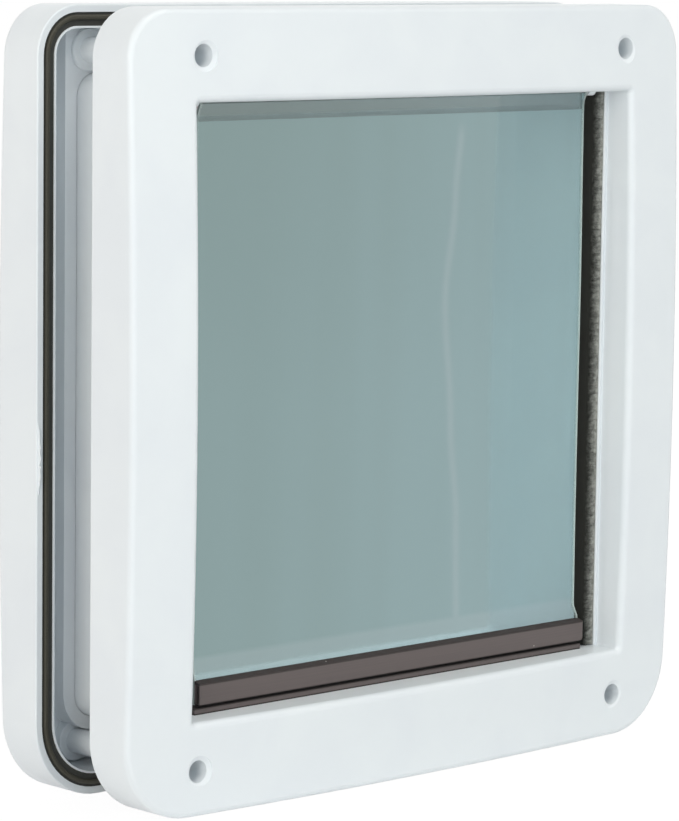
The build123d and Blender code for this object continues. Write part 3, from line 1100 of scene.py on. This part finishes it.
@dataclass
class ClearFlap:
    """The clear sheet with its hem, gently rippled as it hangs from the rod to the bar.

    Attributes:
        half: how far the hem reaches to the left at its top.
        left: the sheet's left edge.
        right: its right edge.
        turn_low: up to here the sheet is as wide as the bar.
        turn_high: from here on it has its own edges.
        depth: the sheet's plane, which holds the rod's axis.
        loop_inner: the inner radius of the loop round the rod.
        loop_outer: its outer radius.
        bend_low: where the sheet starts to lean towards the front of the rod.
        hem_low: the hem's lower edge.
        hem_taper: the height over which that edge thins out.
        hem_thin: its share of the sheet's thickness at the edge.
        hem_gap: how far behind the sheet's plane the edge's inside lies.
        hem_start: how far under the rod's axis the hem's first row lies.
        narrow_high: where the hem has its top width.
        crease: the upright crease near the middle, as pairs of height and X.
        bar_glint_to: up to here the sheet gets a painted highlight, the pale line where its lower edge
            catches light above the bar.
    """

    half: float = 138.4
    left: float = -139.4
    right: float = 137.4
    bar_left: float = -137.7
    bar_right: float = 140.7
    turn_low: float = 64.4
    turn_high: float = 72.9
    bottom: float = 52.2
    hinge: float = 354.0
    depth: float = -33.0
    thickness: float = 1.5
    loop_inner: float = 1.6
    loop_outer: float = 3.1
    bend_low: float = 346.5
    hem_low: float = 343.7
    hem_taper: float = 3.0
    hem_thin: float = 0.15
    hem_gap: float = 0.81
    hem_start: float = 0.4
    narrow_high: float = 349.4
    columns: int = 150
    rows: int = 110
    turn_rows: int = 13
    hem_rows: int = 9
    waves: tuple[Wave, ...] = (
        Wave(0.55, 165.0, 0.5, 310.0, shift=30.0), Wave(0.16, 58.0, 0.8, 230.0, start=1.2))
    wave_fade: Line = ((66.5, 0.0), (120.0, 1.0), (270.0, 1.0), (341.0, 0.0))
    crease: Line = (
        (63.0, 46.5), (128.0, 45.0), (182.0, 40.1), (246.0, 34.9), (298.0, 41.1), (344.0, 45.2))
    crease_fade: Line = ((66.5, 0.0), (80.0, 1.0), (330.0, 1.0), (342.0, 0.0))
    crease_height: float = 0.16
    crease_width: float = 2.4
    bar_glint_to: float = 74.5
    bar_glint_share: float = 0.8

    def build(self, palette: Palette) -> None:
        """Makes the sheet and puts it in place.

        Args:
            palette: the finishes.
        """
        mesh = bmesh.new()
        crease = mesh.verts.layers.float.new("crease")
        hem = mesh.verts.layers.float.new("hem")
        cut = mesh.verts.layers.float.new("cut")
        rings = self.strip_rings()
        count = len(rings[0])
        shell_of_rings(mesh, rings, capped=False)
        self.cap_strip(mesh, count)
        for i, vert in enumerate(mesh.verts):
            column, place = divmod(i, count)
            # painted highlight: the crease attribute pales the sheet along its lower edge above the bar and
            # along the crease
            bar_glint = self.bar_glint_share if vert.co.z < self.bar_glint_to * MM else 0.0
            vert[crease] = max(bar_glint, self.ridge(vert.co.x / MM, vert.co.z / MM) / self.crease_height)
            vert[hem] = 1.0 if self.rows <= place < count - self.rows else 0.0
            # painted highlight on the two cut edges
            vert[cut] = 1.0 if column in (0, self.columns - 1) else 0.0
        obj = new_object("flap_clear_sheet", finish_mesh(mesh, "flap_clear_sheet", palette.of(Slot.SHEET)))
        settle(obj, Body.FLAP, ["flap_sheet"])

    def edge_at(self, z: float, side: Side) -> float:
        """The sheet's edge on one side, from the bar's end up to the hem's.

        Args:
            z: height.
            side: which edge.

        Returns:
            Its X.
        """
        end, edge = (self.bar_left, self.left) if side is Side.LEFT else (self.bar_right, self.right)
        top = max(edge, -self.half)
        return between((
            (self.turn_low, end), (self.turn_high, edge), (self.hem_low, edge), (self.narrow_high, top)), z)

    def across(self, share: float, z: float) -> float:
        """The place at one share of the way from the sheet's left edge to its right one."""
        left = self.edge_at(z, Side.LEFT)
        return left + share * (self.edge_at(z, Side.RIGHT) - left)

    def ripple(self, x: float, z: float) -> float:
        """How far the hanging sheet stands out of its plane, towards the rear."""
        return between(self.wave_fade, z) * sum(wave.at(x, z) for wave in self.waves)

    def ridge(self, x: float, z: float) -> float:
        """The crease's height at one place."""
        off = (x - between(self.crease, z)) / self.crease_width
        return between(self.crease_fade, z) * self.crease_height * math.exp(-off * off)

    def lean(self, z: float) -> float:
        """How far the sheet leans forward of its plane, on its way to the front of the rod."""
        return between(((self.bend_low, 0.0), (self.hinge, (self.loop_inner + self.loop_outer) / 2)), z)

    def strip_rings(self) -> list[Ring]:
        """The sheet as loops from its left edge to its right one.

        Returns:
            The loops: up the front, over the rod and down the hem, then back along the inside.
        """
        rings: list[Ring] = []
        rise = spaced(self.bottom, self.hinge, self.rows)
        turn = spaced(-math.pi / 2, math.pi / 2, self.turn_rows)
        fall = spaced(self.hinge - self.hem_start, self.hem_low, self.hem_rows)
        for share in spaced(0.0, 1.0, self.columns):
            front: Ring = []
            inside: Ring = []
            for z in rise:
                x = self.across(share, z)
                middle = self.depth + self.ripple(x, z) - self.lean(z)
                front.append((x, middle - self.thickness / 2 - self.ridge(x, z), z))
                inside.append((x, middle + self.thickness / 2, z))
            x = self.across(share, self.hinge)
            for angle in turn[1:]:
                for path, radius in ((front, self.loop_outer), (inside, self.loop_inner)):
                    y, z = self.depth + radius * math.sin(angle), self.hinge + radius * math.cos(angle)
                    path.append((x, y, z))
            for z in fall:
                x = self.across(share, z)
                near = self.depth + between(((self.hem_low, self.hem_gap), (self.hinge, self.loop_inner)), z)
                full = between(((self.hem_low, self.hem_thin), (self.hem_low + self.hem_taper, 1.0)), z)
                front.append((x, near + full * self.thickness, z))
                inside.append((x, near, z))
            rings.append(front + inside[::-1])
        return rings

    def cap_strip(self, mesh: BMesh, count: int) -> None:
        """Closes the sheet's two upright edges with strips between its outside and its inside.

        Args:
            mesh: the sheet.
            count: how many points each of its loops has.
        """
        mesh.verts.ensure_lookup_table()
        for start in (0, count * (self.columns - 1)):
            loop = [mesh.verts[start + i] for i in range(count)]
            for i in range(count // 2 - 1):
                mesh.faces.new((loop[i], loop[i + 1], loop[count - 2 - i], loop[count - 1 - i]))


@dataclass
class BarScrews:
    """The bar's countersunk screws, each with a cross recess, set along the bar by Geometry Nodes.

    Attributes:
        sunk: how far the head's top lies under the bar's face.
        rim_drop: where the head's cone starts, under that face.
        point_share: the point's radius as a share of the shank's.
        neck_share: the same where the point starts.
        recess_taper: the recess's size at its bottom as a share of its top.
        turn_step_deg: how much further each screw is turned than the last.
    """

    first_x: float = -119.7
    pitch: float = 60.6
    count: int = 5
    sides: int = 32
    head_depth: float = -28.0
    height: float = 60.7
    head_radius: float = 2.4
    head_length: float = 1.4
    sunk: float = 0.03
    rim_drop: float = 0.12
    shank_radius: float = 1.2
    shank_length: float = 6.4
    point_length: float = 1.2
    point_share: float = 0.25
    neck_share: float = 0.85
    recess_reach: float = 1.5
    recess_width: float = 0.42
    recess_depth: float = 0.8
    recess_taper: float = 0.8
    turn_step_deg: float = 37.0

    def build(self, palette: Palette) -> None:
        """Makes the screws and puts them in place.

        Args:
            palette: the finishes.
        """
        steel = palette.of(Slot.STEEL)
        screw = new_object("bar_screw_pattern", self.screw(steel))
        obj = new_object("bar_cross_screws", bpy.data.meshes.new("bar_cross_screws"))
        self.set_along(obj, screw, steel)
        settle(obj, Body.FLAP, ["bar_screws"])

    def screw(self, material: Material) -> Mesh:
        """One screw along Z with its head up, at the origin.

        Args:
            material: its finish.

        Returns:
            The mesh.
        """
        mesh = bmesh.new()
        point = -self.head_length - self.shank_length
        levels = (
            (point, self.point_share * self.shank_radius),
            (point + self.point_length, self.neck_share * self.shank_radius),
            (-self.head_length, self.shank_radius),
            (-self.rim_drop, self.head_radius),
            (-self.sunk, self.head_radius),
        )
        turns = spaced(0.0, 2 * math.pi * (self.sides - 1) / self.sides, self.sides)
        shell_of_rings(mesh, [[(radius * math.cos(a), radius * math.sin(a), z) for a in turns]
                              for z, radius in levels])
        bmesh.ops.recalc_face_normals(mesh, faces=mesh.faces[:])
        top = max(mesh.faces, key=lambda face: face.calc_center_median().z)
        rim = list(top.verts)
        bmesh.ops.delete(mesh, geom=[top], context="FACES_ONLY")
        self.recess(mesh, rim)
        return finish_mesh(mesh, "bar_screw_pattern", material, smooth_deg=30.0)

    def recess(self, mesh: BMesh, rim: list[BMVert]) -> None:
        """Closes the head's top round a cross recess.

        Args:
            mesh: the screw.
            rim: the loop round the head's top.
        """
        arm, wide, taper = self.recess_reach, self.recess_width, self.recess_taper
        corners = ((arm, -wide), (arm, wide), (wide, wide), (wide, arm), (-wide, arm), (-wide, wide),
                   (-arm, wide), (-arm, -wide), (-wide, -wide), (-wide, -arm), (wide, -arm), (wide, -wide))
        lip = [mesh.verts.new((x * MM, y * MM, -self.sunk * MM)) for x, y in corners]
        base = [mesh.verts.new((x * taper * MM, y * taper * MM, -self.recess_depth * MM)) for x, y in corners]
        for i in range(len(lip)):
            j = (i + 1) % len(lip)
            mesh.faces.new((lip[i], lip[j], base[j], base[i]))
        mesh.faces.new(list(reversed(base)))
        edges = [mesh.edges.get((a, b)) for loop in (rim, lip) for a, b in zip(loop, loop[1:] + loop[:1])]
        bmesh.ops.triangle_fill(mesh, use_beauty=True, use_dissolve=False, edges=[e for e in edges if e])

    def set_along(self, obj: Object, screw: Object, material: Material) -> None:
        """Sets the screws along the bar with Geometry Nodes.

        Args:
            obj: the empty piece that receives them.
            screw: one screw, which is removed afterwards.
            material: their finish.
        """
        tree, given = start_tree("bar_screw_row", {
            "Count": "NodeSocketInt", "Pitch": "NodeSocketFloat", "Turn": "NodeSocketFloat"})
        step = add_node(tree, "ShaderNodeCombineXYZ", {"X": given.outputs["Pitch"]})
        line = add_node(tree, "GeometryNodeMeshLine", {
            "Count": given.outputs["Count"], "Offset": step.outputs["Vector"],
            "Start Location": (self.first_x * MM, self.head_depth * MM, self.height * MM)})
        index = add_node(tree, "GeometryNodeInputIndex")
        turned = add_node(tree, "ShaderNodeMath", {
            0: index.outputs["Index"], 1: given.outputs["Turn"]}, operation="MULTIPLY")
        angles = add_node(tree, "ShaderNodeCombineXYZ", {"X": -math.pi / 2, "Y": turned.outputs["Value"]})
        stem = add_node(tree, "GeometryNodeObjectInfo", {"Object": screw, "As Instance": True})
        placed = add_node(tree, "GeometryNodeInstanceOnPoints", {
            "Points": line.outputs["Mesh"], "Instance": stem.outputs["Geometry"],
            "Rotation": angles.outputs["Vector"]})
        run_tree(tree, obj, placed.outputs["Instances"], material, {
            "Count": self.count, "Pitch": self.pitch * MM, "Turn": math.radians(self.turn_step_deg)})
        bpy.data.objects.remove(screw)


@dataclass
class Fittings:
    """The bar, the threshold, the magnets and the hinge, which keep their CAD shapes."""

    brown: tuple[str, ...] = ("flap_bar_front", "flap_bar_rear", "threshold_strip")
    magnets: tuple[str, ...] = ("flap_magnet", "threshold_magnet")
    bushes: tuple[str, ...] = ("hinge_bush_left", "hinge_bush_right")
    rods: tuple[str, ...] = ("hinge_rod",)

    def dress(self, frame: dict, palette: Palette) -> None:
        """Gives each fitting its finish.

        Args:
            palette: the finishes.
        """
        for names, slot in ((self.brown, Slot.BROWN), (self.magnets, Slot.MAGNET),
                            (self.bushes, Slot.WHITE), (self.rods, Slot.STEEL)):
            for name in names:
                dress_node(frame, name, palette.of(slot))


@dataclass(frozen=True)
class Softbox:
    """One lamp of the studio.

    Attributes:
        name: the lamp's name.
        place: where it stands.
        size: its width and height.
        watts: its power.
        colour: its light's colour.
        mirrored: whether glossy surfaces show it.
    """

    name: str
    place: Point
    size: tuple[float, float]
    watts: float
    colour: str = "#FFFFFF"
    mirrored: bool = True


@dataclass
class Studio:
    """A pale floor, a white surround, soft lamps and the camera.

    Attributes:
        yaw_deg: the camera's turn about the door, from straight in front.
        target: what the camera looks at.
        focal_px: the camera's focal length in pixels of an image 821 pixels high.
        ambient: the surround's light on the door.
        seen_through: how bright the surround and the floor look through the sheet.
        floor_glow: the share of the floor's look that is plain white, the rest being lit paper.
        floor_level: how bright that white is.
        aim: what the lamps face.
    """

    yaw_deg: float = -43.09
    pitch_deg: float = 7.24
    roll_deg: float = 0.73
    distance: float = 1909.79
    target: Point = (-54.01, -48.0, 195.85)
    focal_px: float = 3758.95
    long_side_px: float = 821.0
    sensor: float = 36.0
    ambient: float = 0.34
    ambient_colour: str = "#F4F8FB"
    seen_through: float = 0.53
    floor_colour: str = "#F4F4F4"
    floor_radius: float = 3000.0
    floor_sides: int = 96
    floor_glow: float = 0.93
    floor_level: float = 1.04
    aim: Point = (0.0, 0.0, 200.0)
    lamps: tuple[Softbox, ...] = (
        Softbox("key", (500.0, -1700.0, 3100.0), (2200.0, 2200.0), 50.0, "#FFFDF6"),
        Softbox("strip", (-1860.0, -2980.0, 900.0), (900.0, 2000.0), 21.0, "#E6F2FA"),
        Softbox("side", (-2950.0, -1250.0, 900.0), (1300.0, 1300.0), 33.0, "#FFFBF3"),
        Softbox("fill", (1050.0, -3450.0, 1500.0), (2000.0, 2000.0), 3.0, "#FFFCF5"),
        Softbox("rear", (-1500.0, 1700.0, 700.0), (1300.0, 1500.0), 6.0, "#FFEADF", mirrored=False),
        Softbox("back", (1600.0, 2600.0, 1500.0), (1800.0, 1800.0), 34.0, mirrored=False),
    )

    def build(self) -> None:
        """Sets up the whole studio."""
        self.surround()
        self.floor()
        for lamp in self.lamps:
            self.light(lamp)
        self.camera()

    def rays(self, tree: NodeTree) -> tuple[NodeSocket, NodeSocket]:
        """Tells what is looked at from what only gives light.

        Args:
            tree: the node tree to add to.

        Returns:
            Whether it is seen directly or mirrored, and whether it is seen through the sheet.
        """
        path = add_node(tree, "ShaderNodeLightPath")
        seen = add_node(tree, "ShaderNodeMath", {
            0: path.outputs["Is Camera Ray"], 1: path.outputs["Is Glossy Ray"]}, operation="MAXIMUM")
        return seen.outputs["Value"], path.outputs["Is Transmission Ray"]

    def surround(self) -> None:
        """A world that looks white and lights the door softly."""
        world = bpy.data.worlds.new("white_surround")
        tree = bare_tree(world)
        seen, through = self.rays(tree)
        open_view = add_node(tree, "ShaderNodeMix", {FAC: seen, VAL_A: self.ambient, VAL_B: 1.0})
        level = add_node(tree, "ShaderNodeMix", {
            FAC: through, VAL_A: open_view.outputs[VAL], VAL_B: self.seen_through})
        looked_at = add_node(tree, "ShaderNodeMath", {0: seen, 1: through}, operation="MAXIMUM")
        colour = add_node(tree, "ShaderNodeMix", {
            FAC: looked_at.outputs["Value"], RGB_A: linear(self.ambient_colour), RGB_B: WHITE_LIGHT
        }, data_type="RGBA")
        sky = add_node(tree, "ShaderNodeBackground", {
            "Color": colour.outputs[RGB], "Strength": level.outputs[VAL]})
        add_node(tree, "ShaderNodeOutputWorld", {"Surface": sky.outputs["Background"]})
        bpy.context.scene.world = world

    def floor(self) -> None:
        """A broad white floor that keeps the door's shadow."""
        mesh = bmesh.new()
        bmesh.ops.create_circle(
            mesh, cap_ends=True, segments=self.floor_sides, radius=self.floor_radius * MM)
        made = bpy.data.materials.new("white_paper_floor")
        tree = bare_tree(made)
        seen, through = self.rays(tree)
        paper = add_node(tree, "ShaderNodeBsdfDiffuse", {"Color": linear(self.floor_colour)})
        level = add_node(tree, "ShaderNodeMix", {
            FAC: through, VAL_A: self.floor_level, VAL_B: self.seen_through})
        glow = add_node(tree, "ShaderNodeEmission", {"Color": WHITE_LIGHT, "Strength": level.outputs[VAL]})
        open_view = add_node(tree, "ShaderNodeMath", {0: seen, 1: self.floor_glow}, operation="MULTIPLY")
        share = add_node(tree, "ShaderNodeMath", {
            0: open_view.outputs["Value"], 1: through}, operation="MAXIMUM")
        both = add_node(tree, "ShaderNodeMixShader", {
            0: share.outputs["Value"], 1: paper.outputs["BSDF"], 2: glow.outputs["Emission"]})
        add_node(tree, "ShaderNodeOutputMaterial", {"Surface": both.outputs["Shader"]})
        data = bpy.data.meshes.new("studio_floor")
        mesh.to_mesh(data)
        mesh.free()
        data.materials.append(made)
        new_object("studio_floor", data)

    def light(self, lamp: Softbox) -> None:
        """Adds a softbox that faces the door.

        Args:
            lamp: the softbox.
        """
        data = bpy.data.lights.new(lamp.name, "AREA")
        data.shape = "RECTANGLE"
        data.size = lamp.size[0] * MM
        data.size_y = lamp.size[1] * MM
        data.energy = lamp.watts
        data.color = linear(lamp.colour)[:3]
        obj = bpy.data.objects.new(lamp.name, data)
        obj.visible_transmission = False
        obj.visible_glossy = lamp.mirrored
        bpy.context.scene.collection.objects.link(obj)
        obj.location = Vector(lamp.place) * MM
        aim = Vector(self.aim) * MM - obj.location
        obj.rotation_euler = aim.to_track_quat("-Z", "Y").to_euler()

    def camera(self) -> None:
        """Adds the camera at the photograph's place."""
        yaw, pitch, roll = (math.radians(a) for a in (self.yaw_deg, self.pitch_deg, self.roll_deg))
        back = Vector((math.sin(yaw) * math.cos(pitch), -math.cos(yaw) * math.cos(pitch), math.sin(pitch)))
        level = Vector((math.cos(yaw), math.sin(yaw), 0.0))
        upright = back.cross(level)
        right = math.cos(roll) * level + math.sin(roll) * upright
        up = math.cos(roll) * upright - math.sin(roll) * level
        data = bpy.data.cameras.new("camera")
        data.sensor_fit = "AUTO"
        data.sensor_width = self.sensor
        data.lens = self.focal_px / self.long_side_px * self.sensor
        obj = bpy.data.objects.new("camera", data)
        bpy.context.scene.collection.objects.link(obj)
        turned = Matrix((right, up, back)).transposed().to_4x4()
        obj.matrix_world = Matrix.Translation((Vector(self.target) + back * self.distance) * MM) @ turned
        bpy.context.scene.camera = obj


def main() -> None:
    """Dresses the door and sets up its studio."""
    logging.basicConfig(level=logging.INFO, format="%(name)s: %(message)s")
    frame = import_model()
    bpy.context.scene.view_settings.view_transform = "Standard"
    palette = Palette()
    Frames().dress(frame, palette)
    for side in Side:
        BrushSeal(side).build(palette)
    ClearFlap().build(palette)
    BarScrews().build(palette)
    Fittings().dress(frame, palette)
    Studio().build()


if __name__ == "__main__":
    main()
